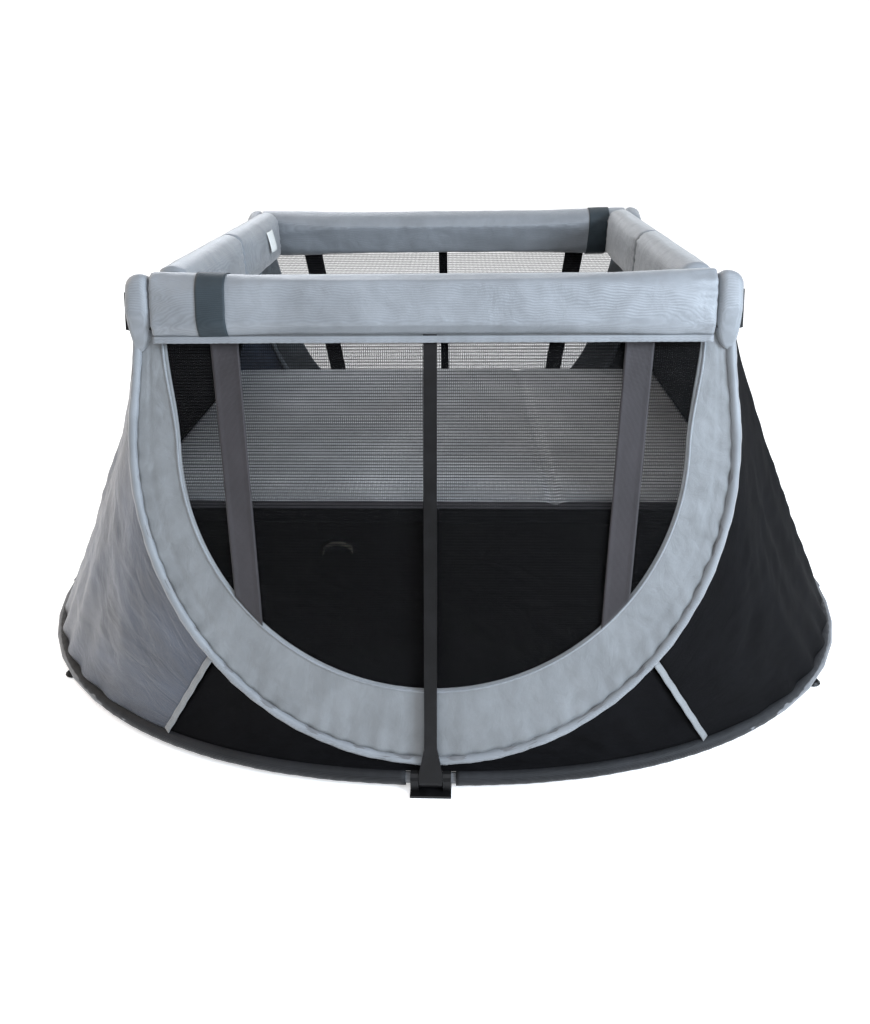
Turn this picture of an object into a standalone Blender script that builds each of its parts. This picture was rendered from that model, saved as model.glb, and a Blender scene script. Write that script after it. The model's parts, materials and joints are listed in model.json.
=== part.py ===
"""Playpen: oval base ring, two leaning arched walls, padded top rails and a raised mattress.

Metres, +Z up. The origin is on the ground under the middle of the base ring. The front is -Y.
The pen folds about the line through the ring's two end hinges, and its walls close on each other.
"""

import math

import bmesh
import bpy
from mathutils import Vector

# Overall sizes
BASE_LENGTH = 1.43  # outer width of the base ring, along X
BASE_DEPTH = 1.07  # outer depth of the base ring, along Y
TOP_TUBE_HEIGHT = 0.607  # middle of the top rail tubes above the ground
TOP_DEPTH = 0.61  # between the middles of the front and back rail tubes
TOP_LENGTH = 0.67  # between the middles of the two side rail tubes
BASE_ROUNDNESS = 2.2  # exponent of the oval: 2 is an ellipse

# Tubes, rods and clearances
GAP = 0.0003
RUNNING = 0.0007
ROD_ROOM = 0.0032  # round the arch rod in its corner sockets, which it enters at a slight slant
RING_RADIUS = 0.008
RAIL_RADIUS = 0.008
ARCH_RADIUS = 0.005
PIN_RADIUS = 0.003
PIN_HEAD_RADIUS = 0.0055
SLEEVE_CLOTH = 0.0018
SLEEVE_WIDTH = 0.034  # from the tube's middle to the sleeve's inner edge
FOOT_BASE = 0.004  # thickness of a foot's base plate
EYE_WALL = 0.004  # plastic round the ring tube in the feet and pole ends

# Top rail pads
PAD_ABOVE = 0.040
PAD_BELOW = 0.045
PAD_THICKNESS = 0.046
PAD_ROUND = 0.016

# Wall: lengths along X, or up the sloping wall from the foot's axis
ARCH_HALF_WIDTH = 0.388
ARCH_TOP_HALF_WIDTH = 0.374
ARCH_SPRING = 0.438
ARCH_BOTTOM = 0.024
WINDOW_HALF_WIDTH = 0.325
WINDOW_TOP_HALF_WIDTH = 0.338
WINDOW_SPRING = 0.449
WINDOW_BOTTOM = 0.126
CLOTH = 0.003
MESH_CLOTH = 0.0016
POLE_WIDTH = 0.017
POLE_THICKNESS = 0.007
POLE_FLARE = 0.045
STRAP_WIDTH = 0.036
STRAP_THICKNESS = 0.0017
STRAP_TOP = 0.262
STRAP_BOTTOM = 0.242
LABEL_WIDTH = 0.037
LABEL_AT = {"front": -0.270, "back": -0.298}
FOOT_HALF = 0.028
CHEEK_ROOM = 0.0165  # from the foot's middle to a cheek's inner face
LABEL_THICKNESS = 0.0012

# Raised mattress
MATTRESS_LENGTH = 0.88
MATTRESS_DEPTH = 0.62
MATTRESS_THICKNESS = 0.036
MATTRESS_TOP = 0.336
TRAY_WALL = 0.003
HEM_ON_ARCH = 0.165  # height up the wall where the end panel's hem leaves the arch
HEM_ON_RING = 0.385  # distance from the middle where it meets the ring

RING_END = 0.048  # length of a flat hinge link at the ring's ends
RAIL_LINK = 0.034  # length of a flat hinge link on a side rail tube
LINK_THICKNESS = 0.0046
LINK_HEIGHT = 0.014

EYE_RADIUS = RING_RADIUS + RUNNING + EYE_WALL
AXIS_HEIGHT = FOOT_BASE + EYE_RADIUS + GAP
SLEEVE_RADIUS = RING_RADIUS + 2 * GAP + SLEEVE_CLOTH
RING_A = BASE_LENGTH / 2 - SLEEVE_RADIUS
RING_B = BASE_DEPTH / 2 - SLEEVE_RADIUS
LEAN = math.atan2(RING_B - TOP_DEPTH / 2, TOP_TUBE_HEIGHT - AXIS_HEIGHT)
RISE = math.hypot(RING_B - TOP_DEPTH / 2, TOP_TUBE_HEIGHT - AXIS_HEIGHT)
PAD_LOW = RISE - PAD_BELOW
POLE_INNER = -ARCH_RADIUS - 2 * GAP  # the pole passes just in front of the arch rod
SIDE_X = TOP_LENGTH / 2
RAIL_HALF = SIDE_X + 0.015  # half length of the front and back rail pads
PIVOT_IN = 0.036  # from the rail tube's middle in to the side rail's corner pivot
PIVOT_Y = TOP_DEPTH / 2 - PIVOT_IN

FINISHES = {
    "satin_grey": ((0.40, 0.40, 0.42), 0.45, 0.0),
    "satin_blue_grey": ((0.42, 0.45, 0.48), 0.4, 0.0),
    "black_cloth": ((0.012, 0.012, 0.014), 0.85, 0.0),
    "black_mesh": ((0.015, 0.015, 0.018), 0.8, 0.0),
    "dark_grey_webbing": ((0.07, 0.07, 0.08), 0.7, 0.0),
    "slate_label": ((0.05, 0.06, 0.075), 0.6, 0.0),
    "mattress_knit": ((0.22, 0.23, 0.23), 0.85, 0.0),
    "cream_webbing": ((0.55, 0.52, 0.42), 0.8, 0.0),
    "black_plastic": ((0.02, 0.02, 0.022), 0.45, 0.0),
    "grey_steel": ((0.30, 0.30, 0.31), 0.4, 0.9),
    "pin_steel": ((0.55, 0.55, 0.56), 0.3, 1.0),
}


def finish(name):
    """The Principled material of one finish, made the first time that it is asked for."""
    if name in bpy.data.materials:
        return bpy.data.materials[name]
    colour, roughness, metallic = FINISHES[name]
    material = bpy.data.materials.new(name)
    material.use_nodes = True
    shader = material.node_tree.nodes["Principled BSDF"]
    shader.inputs["Base Color"].default_value = (*colour, 1.0)
    shader.inputs["Roughness"].default_value = roughness
    shader.inputs["Metallic"].default_value = metallic
    return material


def place(name, bm, parent, material=None):
    """Turn a bmesh into an object under its joint's empty. With no material it is a hidden helper."""
    bmesh.ops.remove_doubles(bm, verts=bm.verts, dist=1e-6)
    bmesh.ops.recalc_face_normals(bm, faces=bm.faces)
    mesh = bpy.data.meshes.new(name)
    bm.to_mesh(mesh)
    bm.free()
    obj = bpy.data.objects.new(name, mesh)
    bpy.context.scene.collection.objects.link(obj)
    obj.parent = parent
    if material:
        mesh.materials.append(finish(material))
        mesh.shade_smooth()
        mesh.set_sharp_from_angle(angle=math.radians(35))
    else:
        obj.hide_render = True
        obj.display_type = "WIRE"
    return obj


def combine(obj, operation, *helpers):
    """Join helper shapes to an object, or cut them from it, with exact Booleans."""
    for helper in helpers:
        modifier = obj.modifiers.new(f"{operation.lower()}_{helper.name}", "BOOLEAN")
        modifier.operation = operation
        modifier.object = helper
    return obj


def loft(rings, wrap=False):
    """A closed skin over rings of points. With wrap the last joins the first; else both ends are capped."""
    bm = bmesh.new()
    rows = [[bm.verts.new(point) for point in ring] for ring in rings]
    pairs = list(zip(rows, rows[1:]))
    if wrap:
        pairs.append((rows[-1], rows[0]))
    else:
        bm.faces.new(rows[0])
        bm.faces.new(rows[-1])
    for first, second in pairs:
        for i in range(len(first)):
            j = (i + 1) % len(first)
            bm.faces.new((first[i], first[j], second[j], second[i]))
    return bm


def box(low, high):
    bm = bmesh.new()
    bmesh.ops.create_cube(bm, size=1.0)
    low, high = Vector(low), Vector(high)
    bmesh.ops.scale(bm, vec=high - low, verts=bm.verts)
    bmesh.ops.translate(bm, vec=(low + high) / 2, verts=bm.verts)
    return bm


def rod_along_x(x0, x1, y, z, radius, sides=16):
    """A cylinder along X."""
    turns = [2 * math.pi * (i + 0.5) / sides for i in range(sides)]
    return loft([[(x, y + radius * math.cos(t), z + radius * math.sin(t)) for t in turns] for x in (x0, x1)])


def rod_along_y(y0, y1, x, z, radius, sides=12):
    """A cylinder along Y."""
    turns = [2 * math.pi * (i + 0.5) / sides for i in range(sides)]
    return loft([[(x + radius * math.cos(t), y, z + radius * math.sin(t)) for t in turns] for y in (y0, y1)])


def tube(points, radius, normal, sides=10):
    """A round bar along points that lie in the plane with this normal."""
    normal = Vector(normal)
    rings = []
    for i, point in enumerate(points):
        ahead = points[min(i + 1, len(points) - 1)] - points[max(i - 1, 0)]
        across = ahead.cross(normal).normalized()
        turns = [2 * math.pi * (k + 0.5) / sides for k in range(sides)]
        rings.append([point + radius * (across * math.cos(t) + normal * math.sin(t)) for t in turns])
    return loft(rings)


def empty(name, location, rotation=(0, 0, 0)):
    obj = bpy.data.objects.new(name, None)
    bpy.context.scene.collection.objects.link(obj)
    obj.location = location
    obj.rotation_euler = rotation
    return obj


def link_plate(x0, x1, y0, y1, height, z=0.0):
    """A flat hinge link from the pivot at y0 to y1, with a round end at the pivot."""
    reach = height / 2
    sign = 1 if y1 > y0 else -1
    steps = 6
    arc = [math.pi * (0.5 + i / steps) for i in range(steps + 1)]
    outline = [(y0 + sign * reach * math.cos(t), z + reach * math.sin(t)) for t in arc]
    outline += [(y1, z - reach), (y1, z + reach)]
    return loft([[(x, y, v) for y, v in outline] for x in (x0, x1)])


def ring_point(angle):
    """A point of the ring tube's middle line, level with its axis. Angle 0 is +X, 90 degrees is +Y."""
    cos, sin = math.cos(angle), math.sin(angle)
    reach = (abs(cos) ** BASE_ROUNDNESS + abs(sin) ** BASE_ROUNDNESS) ** (-1 / BASE_ROUNDNESS)
    return Vector((RING_A * reach * cos, RING_B * reach * sin, AXIS_HEIGHT))


def ring_stations():
    """Angles along half of the ring, from one hinge to the other, with a pair close to the foot."""
    start = ring_angle_at(1, RING_END - 0.010, 0.0, 0.5)
    steps = 13
    near_foot = ring_angle_at(0, 0.036, 0.8, math.pi / 2)
    quarter = [start + (math.pi / 2 - start) * i / steps for i in range(steps)]
    quarter = [a for a in quarter if a < near_foot - 0.02] + [near_foot]
    return quarter + [math.pi - a for a in reversed(quarter)]


def ring_inward(angle):
    """The level direction from the ring's middle line towards the inside."""
    step = 1e-3
    along = ring_point(angle + step) - ring_point(angle - step)
    return Vector((-along.y, along.x, 0)).normalized()


def ring_angle_at(coordinate, value, low, high):
    """The angle between low and high at which the ring's x or y (0 or 1) has this value."""
    rising = ring_point(high)[coordinate] > ring_point(low)[coordinate]
    for _ in range(40):
        middle = (low + high) / 2
        if (ring_point(middle)[coordinate] < value) == rising:
            low = middle
        else:
            high = middle
    return (low + high) / 2


def u_curve(half_width, top_half_width, spring, bottom, top, legs, arc):
    """Points (x, up) of one half of a U, from its top at +X to the bottom middle."""
    points = []
    for i in range(legs):
        s = 1 - i / legs
        blend = 0.5 - 0.5 * math.cos(math.pi * s)
        points.append((half_width + (top_half_width - half_width) * blend, spring + (top - spring) * s))
    for i in range(arc + 1):
        t = math.pi / 2 * i / arc
        points.append((half_width * math.cos(t), spring - (spring - bottom) * math.sin(t)))
    return points


def both_halves(points):
    """Mirror one half of a U, so that it runs from +X round the bottom to -X."""
    return points + [(-x, v) for x, v in reversed(points[:-1])]


def sheet_from_grid(grid, thickness, inward):
    """A closed cloth solid over a grid of points, thickened towards a point inside."""
    rings = []
    for i, row in enumerate(grid):
        ahead = grid[min(i + 1, len(grid) - 1)]
        behind = grid[max(i - 1, 0)]
        inner = []
        for j, point in enumerate(row):
            along = ahead[j] - behind[j]
            across = row[min(j + 1, len(row) - 1)] - row[max(j - 1, 0)]
            normal = along.cross(across).normalized()
            if normal.dot(inward - point) < 0:
                normal.negate()
            inner.append(point + normal * thickness)
        rings.append(list(row) + inner[::-1])
    return loft(rings)


def rounded_outline(half_width, low, high, radius, steps=3):
    """Corner points (y, z) of a rounded rectangle."""
    corners = ((half_width, high, 0), (-half_width, high, 1), (-half_width, low, 2), (half_width, low, 3))
    points = []
    for y, z, quarter in corners:
        centre_y = y - math.copysign(radius, y)
        centre_z = z - radius if z == high else z + radius
        for i in range(steps + 1):
            t = math.pi / 2 * (quarter + i / steps)
            points.append((centre_y + radius * math.cos(t), centre_z + radius * math.sin(t)))
    return points


ARCH_TOP = RISE - 0.012
ARCH_LINE = both_halves(
    u_curve(ARCH_HALF_WIDTH, ARCH_TOP_HALF_WIDTH, ARCH_SPRING, ARCH_BOTTOM, ARCH_TOP, legs=4, arc=9)
)
BRACKET_HALF = 0.016
CORNER_LOW, CORNER_HIGH = RISE - 0.032, RISE + 0.014
CORNER_X0, CORNER_X1 = SIDE_X - 0.021, ARCH_TOP_HALF_WIDTH + 0.010
CORNER_HALF = 0.012
TOP_TUBE_HALF = SIDE_X - 0.004


def wall_point(front, x, up, inward=0.0):
    """World position of a point of a wall: x along it, up its slope, and in from its middle plane."""
    y = -RING_B + up * math.sin(LEAN) + inward * math.cos(LEAN)
    z = AXIS_HEIGHT + up * math.cos(LEAN) - inward * math.sin(LEAN)
    return Vector((x, y, z)) if front else Vector((x, -y, z))


def corner_bracket(name, side, axis):
    """A corner: sockets for the top tube and the arch rod, and a stud for the side rail to turn on."""
    x0, x1 = sorted((side * CORNER_X0, side * CORNER_X1))
    body = place(
        name, box((x0, -CORNER_HALF, CORNER_LOW), (x1, CORNER_HALF, CORNER_HIGH)), axis, "black_plastic"
    )
    ear_x0, ear_x1 = SIDE_X - 0.011, SIDE_X - 0.0042
    pivot_up = RISE + PIVOT_IN * math.sin(LEAN)
    pivot_in = PIVOT_IN * math.cos(LEAN)
    ear_outline = [(0.0, RISE - 0.012), (pivot_in, pivot_up - 0.009), (pivot_in + 0.008, pivot_up - 0.004)]
    ear_outline += [(pivot_in + 0.008, pivot_up + 0.004), (pivot_in, pivot_up + 0.009), (0.0, RISE + 0.010)]
    ear_ends = sorted((side * ear_x0, side * ear_x1))
    ear = place(f"{name}_ear_helper", loft([[(x, y, z) for y, z in ear_outline] for x in ear_ends]), axis)
    stud_ends = sorted((side * (ear_x1 - 0.002), side * (SIDE_X + 0.0055)))
    stud = place(f"{name}_stud_helper", rod_along_x(*stud_ends, pivot_in, pivot_up, PIN_RADIUS, 10), axis)
    socket_ends = sorted((side * (CORNER_X0 - 0.01), side * (TOP_TUBE_HALF + GAP)))
    socket = place(
        f"{name}_socket_helper", rod_along_x(*socket_ends, 0, RISE, RAIL_RADIUS + GAP, 12), axis
    )
    rod_line = [Vector((side * ARCH_TOP_HALF_WIDTH, 0, z)) for z in (CORNER_LOW - 0.01, ARCH_TOP + GAP)]
    rod_hole = place(f"{name}_rod_helper", tube(rod_line, ARCH_RADIUS + ROD_ROOM, (0, 1, 0), 10), axis)
    combine(body, "UNION", ear, stud)
    return combine(body, "DIFFERENCE", socket, rod_hole)


def rail_pad(name, axis):
    """The padded cover of a front or back rail, open where the brackets, the pole and the side rails are."""
    outline = rounded_outline(PAD_THICKNESS / 2, RISE - PAD_BELOW, RISE + PAD_ABOVE, PAD_ROUND)
    pad = place(
        name, loft([[(x, y, z) for y, z in outline] for x in (-RAIL_HALF, RAIL_HALF)]), axis, "satin_grey"
    )
    room = 0.002
    bore = place(f"{name}_bore_helper", rod_along_x(-0.5, 0.5, 0, RISE, RAIL_RADIUS + GAP, 12), axis)
    notch_low = (-BRACKET_HALF - room, -CORNER_HALF - room, RISE - PAD_BELOW - 0.01)
    notch_high = (BRACKET_HALF + room, CORNER_HALF + room, CORNER_HIGH + room)
    notch = place(f"{name}_notch_helper", box(notch_low, notch_high), axis)
    ends = []
    for side in (-1, 1):
        x0, x1 = sorted((side * (CORNER_X0 - room), side * (RAIL_HALF + 0.01)))
        low = (x0, -CORNER_HALF - room, RISE - PAD_BELOW - 0.01)
        high = (x1, PAD_THICKNESS, CORNER_HIGH + 0.007)
        ends.append(place(f"{name}_end_helper_{side}", box(low, high), axis))
    return combine(pad, "DIFFERENCE", bore, notch, *ends)


def pole(name, axis):
    """The flat centre pole, flared at its foot into an eye round the ring tube."""
    outer, inner = POLE_INNER - POLE_THICKNESS, POLE_INNER
    stations = ((0.0, 0.0155), (0.012, 0.0155), (POLE_FLARE, POLE_WIDTH / 2), (RISE - 0.012, POLE_WIDTH / 2))
    rings = [[(-w, outer, v), (w, outer, v), (w, inner, v), (-w, inner, v)] for v, w in stations]
    bar = place(name, loft(rings), axis, "black_plastic")
    eye = place(f"{name}_eye_helper", rod_along_x(-0.0155, 0.0155, 0, 0, EYE_RADIUS, 20), axis)
    bore = place(f"{name}_bore_helper", rod_along_x(-0.05, 0.05, 0, 0, RING_RADIUS + RUNNING, 16), axis)
    combine(bar, "UNION", eye)
    return combine(bar, "DIFFERENCE", bore)


def pole_bracket(name, axis):
    """The block that clamps the pole's top to the rail tube."""
    low = (-BRACKET_HALF, -CORNER_HALF, RISE - 0.030)
    high = (BRACKET_HALF, CORNER_HALF, RISE + 0.012)
    block = place(name, box(low, high), axis, "black_plastic")
    bore = place(f"{name}_bore_helper", rod_along_x(-0.05, 0.05, 0, RISE, RAIL_RADIUS + GAP, 12), axis)
    half = POLE_WIDTH / 2 + GAP
    slot_low = (-half, -0.02, RISE - 0.05)
    slot = place(f"{name}_slot_helper", box(slot_low, (half, POLE_INNER + GAP, RISE - 0.012 + GAP)), axis)
    return combine(block, "DIFFERENCE", bore, slot)


def arch_band(name, axis):
    """The cloth band inside the arch rod, from the rod in to the mesh window."""
    inner_half = u_curve(
        WINDOW_HALF_WIDTH, WINDOW_TOP_HALF_WIDTH, WINDOW_SPRING, WINDOW_BOTTOM, PAD_LOW - 0.002, legs=4, arc=9
    )
    inner = both_halves(inner_half)
    room = ARCH_RADIUS + 2 * GAP
    outer = both_halves(
        u_curve(
            ARCH_HALF_WIDTH - room,
            ARCH_TOP_HALF_WIDTH - room,
            ARCH_SPRING,
            ARCH_BOTTOM + room,
            PAD_LOW - 0.002,
            legs=4,
            arc=9,
        )
    )
    h = CLOTH / 2
    rings = [
        [(ox, -h, ov), (ix, -h, iv), (ix, h, iv), (ox, h, ov)] for (ox, ov), (ix, iv) in zip(outer, inner)
    ]
    return place(name, loft(rings), axis, "satin_grey")


def mesh_window(name, axis):
    """The see-through mesh that fills the arch band."""
    room = 3 * GAP
    half = u_curve(
        WINDOW_HALF_WIDTH - room,
        WINDOW_TOP_HALF_WIDTH - room,
        WINDOW_SPRING,
        WINDOW_BOTTOM + room,
        PAD_LOW - 0.002,
        legs=4,
        arc=9,
    )
    h = MESH_CLOTH / 2
    (last_x, last_v), (_, bottom) = half[-2:]
    half[-1] = (last_x / 4, bottom + (last_v - bottom) / 4)
    rings = [[(-x, -h, v), (x, -h, v), (x, h, v), (-x, h, v)] for x, v in half]
    return place(name, loft(rings), axis, "black_mesh")


def window_edge(x):
    """How far up the wall the window's lower edge is at this x."""
    return WINDOW_SPRING - (WINDOW_SPRING - WINDOW_BOTTOM) * math.sqrt(1 - (x / WINDOW_HALF_WIDTH) ** 2)


def strap(name, side, axis):
    """A flat strap down the outside of the mesh, from the rail to just past the window's edge."""
    low = window_edge(STRAP_BOTTOM) - 0.006
    outer, inner = -CLOTH / 2 - GAP - STRAP_THICKNESS, -CLOTH / 2 - GAP
    half = STRAP_WIDTH / 2
    rings = []
    for x, v in ((side * STRAP_TOP, PAD_LOW - 0.002), (side * STRAP_BOTTOM, low)):
        rings.append([(x - half, outer, v), (x + half, outer, v), (x + half, inner, v), (x - half, inner, v)])
    return place(name, loft(rings), axis, "dark_grey_webbing")


def label_band(name, at, axis):
    """A plain cloth band, wrapped round the rail pad and open underneath."""
    reach = PAD_THICKNESS / 2 + GAP
    low, high = RISE - PAD_BELOW + PAD_ROUND, RISE + PAD_ABOVE + GAP
    radius = PAD_ROUND + GAP
    inside = [(-reach, low)]
    for quarter, y in ((1, -reach + radius), (0, reach - radius)):
        for i in range(4):
            t = math.pi / 2 * (quarter + 1 - i / 3)
            inside.append((y + radius * math.cos(t), high - radius + radius * math.sin(t)))
    inside.append((reach, low))
    middle = Vector((0, RISE))
    outside = []
    for y, z in inside:
        away = Vector((y, max(z - (high - radius), 0.0)))
        if abs(y) > reach - radius:
            away.x = math.copysign(abs(y) - (reach - radius), y)
        else:
            away.x = 0.0
        away = away.normalized() if away.length > 1e-9 else (Vector((y, z)) - middle).normalized()
        outside.append((y + away.x * LABEL_THICKNESS, z + away.y * LABEL_THICKNESS))
    section = inside + outside[::-1]
    ends = (at - LABEL_WIDTH / 2, at + LABEL_WIDTH / 2)
    return place(name, loft([[(x, y, z) for y, z in section] for x in ends]), axis, "slate_label")


def build_wall(wall):
    """One arched wall, built flat on the foot's axis and leaned in. The back is the front turned round."""
    front = wall == "front"
    location = (0, -RING_B if front else RING_B, AXIS_HEIGHT)
    axis = empty(f"{wall}_wall_axis", location, (-LEAN, 0, 0 if front else math.pi))
    rail = rod_along_x(-TOP_TUBE_HALF, TOP_TUBE_HALF, 0, RISE, RAIL_RADIUS, 12)
    place(f"{wall}_top_tube", rail, axis, "grey_steel")
    arch = tube([Vector((x, 0, v)) for x, v in ARCH_LINE], ARCH_RADIUS, (0, 1, 0), 8)
    place(f"{wall}_arch_rod", arch, axis, "grey_steel")
    rail_pad(f"{wall}_rail_cover", axis)
    pole(f"{wall}_pole", axis)
    pole_bracket(f"{wall}_pole_bracket", axis)
    arch_band(f"{wall}_arch_band", axis)
    mesh_window(f"{wall}_mesh_window", axis)
    label_band(f"{wall}_rail_label", LABEL_AT[wall], axis)
    for side in (-1, 1):
        hand = "left" if (side < 0) == front else "right"
        corner_bracket(f"{wall}_{hand}_corner", side, axis)
        strap(f"{wall}_{hand}_strap", side, axis)


def build_foot(wall):
    """The foot under a pole: a base plate with two cheeks that carry the ring tube."""
    axis = empty(f"{wall}_foot_axis", (0, -RING_B if wall == "front" else RING_B, AXIS_HEIGHT))
    half = 0.021
    low, high = (-FOOT_HALF, -half, -AXIS_HEIGHT), (FOOT_HALF, half, -AXIS_HEIGHT + FOOT_BASE)
    foot = place(f"{wall}_foot", box(low, high), axis, "black_plastic")
    steps = 8
    outline = [(-EYE_RADIUS, -AXIS_HEIGHT + FOOT_BASE / 2), (EYE_RADIUS, -AXIS_HEIGHT + FOOT_BASE / 2)]
    outline += [
        (EYE_RADIUS * math.cos(math.pi * i / steps), EYE_RADIUS * math.sin(math.pi * i / steps))
        for i in range(steps + 1)
    ]
    cheeks = []
    for side in (-1, 1):
        ends = sorted((side * CHEEK_ROOM, side * (FOOT_HALF - 0.0005)))
        cheek = loft([[(x, y, z) for y, z in outline] for x in ends])
        cheeks.append(place(f"{wall}_foot_cheek_helper_{side}", cheek, axis))
    bore = place(f"{wall}_foot_bore_helper", rod_along_x(-0.06, 0.06, 0, 0, RING_RADIUS + RUNNING, 16), axis)
    combine(foot, "UNION", *cheeks)
    combine(foot, "DIFFERENCE", bore)


def ring_section(angle, outline):
    """An outline (inward, up) set round the ring tube's middle line at this angle."""
    centre, inward, up = ring_point(angle), ring_inward(angle), Vector((0, 0, 1))
    return [centre + inward * d + up * z for d, z in outline]


def sleeve_outline():
    """The ring sleeve's section: cloth wound round the tube, with a flat tape on the inner side."""
    inner_radius = RING_RADIUS + 2 * GAP
    turns = [math.radians(-100 - 25 * i) for i in range(12)]
    inside = [(inner_radius * math.cos(t), inner_radius * math.sin(t)) for t in turns]
    outside = [(SLEEVE_RADIUS * math.cos(t), SLEEVE_RADIUS * math.sin(t)) for t in turns]
    tape_low = -SLEEVE_RADIUS + 0.0012
    tape = [(SLEEVE_WIDTH, tape_low + SLEEVE_CLOTH), (SLEEVE_WIDTH, tape_low)]
    return tape + outside + inside[::-1]


def build_ring(wall):
    """One half of the base ring, with its cloth sleeves, hinge links and rubber feet."""
    front = wall == "front"
    sign = -1 if front else 1
    axis = empty(f"{wall}_ring_axis", (0, 0, AXIS_HEIGHT))
    shift = Vector((0, 0, -AXIS_HEIGHT))
    stations = ring_stations()
    turns = [math.tau * (i + 0.5) / 10 for i in range(10)]
    circle = [(RING_RADIUS * math.cos(t), RING_RADIUS * math.sin(t)) for t in turns]
    bar = loft([[p + shift for p in ring_section(sign * a, circle)] for a in stations])
    ring = place(f"{wall}_ring_tube", bar, axis, "grey_steel")
    for side in (-1, 1):
        hand = "left" if side < 0 else "right"
        offset = GAP if front else -GAP - LINK_THICKNESS
        ends = sorted((side * (RING_A + offset), side * (RING_A + offset + LINK_THICKNESS)))
        plate = link_plate(*ends, 0.0, sign * (RING_END + 0.006), LINK_HEIGHT)
        link = place(f"{wall}_{hand}_link_helper", plate, axis)
        hole = rod_along_x(side * RING_A - 0.03, side * RING_A + 0.03, 0, 0, PIN_RADIUS + 0.0004, 10)
        combine(ring, "UNION", link)
        combine(ring, "DIFFERENCE", place(f"{wall}_{hand}_hole_helper", hole, axis))
        sweep = [a for a in stations if side * ring_point(a).x > 0.045 and ring_point(a).y > RING_END + 0.012]
        rings = [[p + shift for p in ring_section(sign * a, sleeve_outline())] for a in sweep]
        place(f"{wall}_{hand}_ring_sleeve", loft(rings), axis, "dark_grey_webbing")
        foot_angle = ring_angle_at(1, 0.30, 0.0, 1.2)
        if side < 0:
            foot_angle = math.pi - foot_angle
        spot = ring_point(sign * foot_angle) + shift
        foot = loft(
            [
                [
                    (spot.x + r * math.cos(math.tau * i / 12), spot.y + r * math.sin(math.tau * i / 12), z)
                    for i in range(12)
                ]
                for r, z in (
                    (0.011, -AXIS_HEIGHT),
                    (0.013, -AXIS_HEIGHT + 0.003),
                    (0.009, -SLEEVE_RADIUS - GAP),
                )
            ]
        )
        place(f"{wall}_{hand}_ring_foot", foot, axis, "black_plastic")


def hinge_pin(name, side, axis):
    """A pin through two hinge links, with its head on the inner side."""
    inner, outer = -LINK_THICKNESS - 2 * GAP, LINK_THICKNESS + 0.002
    shaft_ends = sorted((side * inner, side * outer))
    pin = place(name, rod_along_x(*shaft_ends, 0, 0, PIN_RADIUS, 10), axis, "pin_steel")
    head_ends = sorted((side * (inner - 0.002), side * inner))
    head = place(f"{name}_head_helper", rod_along_x(*head_ends, 0, 0, PIN_HEAD_RADIUS, 10), axis)
    combine(pin, "UNION", head)


def build_ring_pins():
    """The two pins that join the ring halves."""
    for hand, side in (("left", -1), ("right", 1)):
        hinge_pin(f"{hand}_ring_pin", side, empty(f"{hand}_ring_pin_axis", (side * RING_A, 0, AXIS_HEIGHT)))


def build_side_rail(hand):
    """A side rail: two tubes that fold down at a middle hinge, their pin and one padded cover."""
    side = -1 if hand == "left" else 1
    middle = empty(f"{hand}_rail_middle_axis", (side * SIDE_X, 0, TOP_TUBE_HEIGHT))
    for wall, sign in (("front", -1), ("back", 1)):
        corner = empty(f"{wall}_{hand}_rail_axis", (side * SIDE_X, sign * PIVOT_Y, TOP_TUBE_HEIGHT))
        near, far = -sign * (RAIL_LINK - 0.006), -sign * (PIVOT_Y - RAIL_LINK + 0.006)
        bar = rod_along_y(*sorted((near, far)), 0, 0, RAIL_RADIUS)
        rail = place(f"{hand}_{wall}_side_tube", bar, corner, "grey_steel")
        eye = link_plate(-0.004, 0.004, 0.0, -sign * RAIL_LINK, LINK_HEIGHT)
        offset = GAP if wall == "front" else -GAP - LINK_THICKNESS
        ends = sorted((side * offset, side * (offset + LINK_THICKNESS)))
        tongue = link_plate(*ends, -sign * PIVOT_Y, -sign * (PIVOT_Y - RAIL_LINK), LINK_HEIGHT)
        hole = rod_along_x(-0.02, 0.02, 0, 0, PIN_RADIUS + 0.0004, 10)
        pin_hole = rod_along_x(-0.02, 0.02, -sign * PIVOT_Y, 0, PIN_RADIUS + 0.0004, 10)
        helpers = [
            place(f"{hand}_{wall}_{i}_helper", bm, corner) for i, bm in enumerate((eye, tongue, hole, pin_hole))
        ]
        combine(rail, "UNION", *helpers[:2])
        combine(rail, "DIFFERENCE", *helpers[2:])
    hinge_pin(f"{hand}_rail_pin", side, middle)
    half = PIVOT_Y - 0.018
    outline = rounded_outline(PAD_THICKNESS / 2, -PAD_BELOW, PAD_ABOVE, PAD_ROUND)
    cover = loft([[(y, end, z) for y, z in outline] for end in (-half, half)])
    pad = place(f"{hand}_rail_cover", cover, middle, "satin_grey")
    bore = rod_along_y(-half - 0.01, half + 0.01, 0, 0, RAIL_RADIUS + 0.0016, 12)
    combine(pad, "DIFFERENCE", place(f"{hand}_rail_cover_bore_helper", bore, middle))


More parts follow.
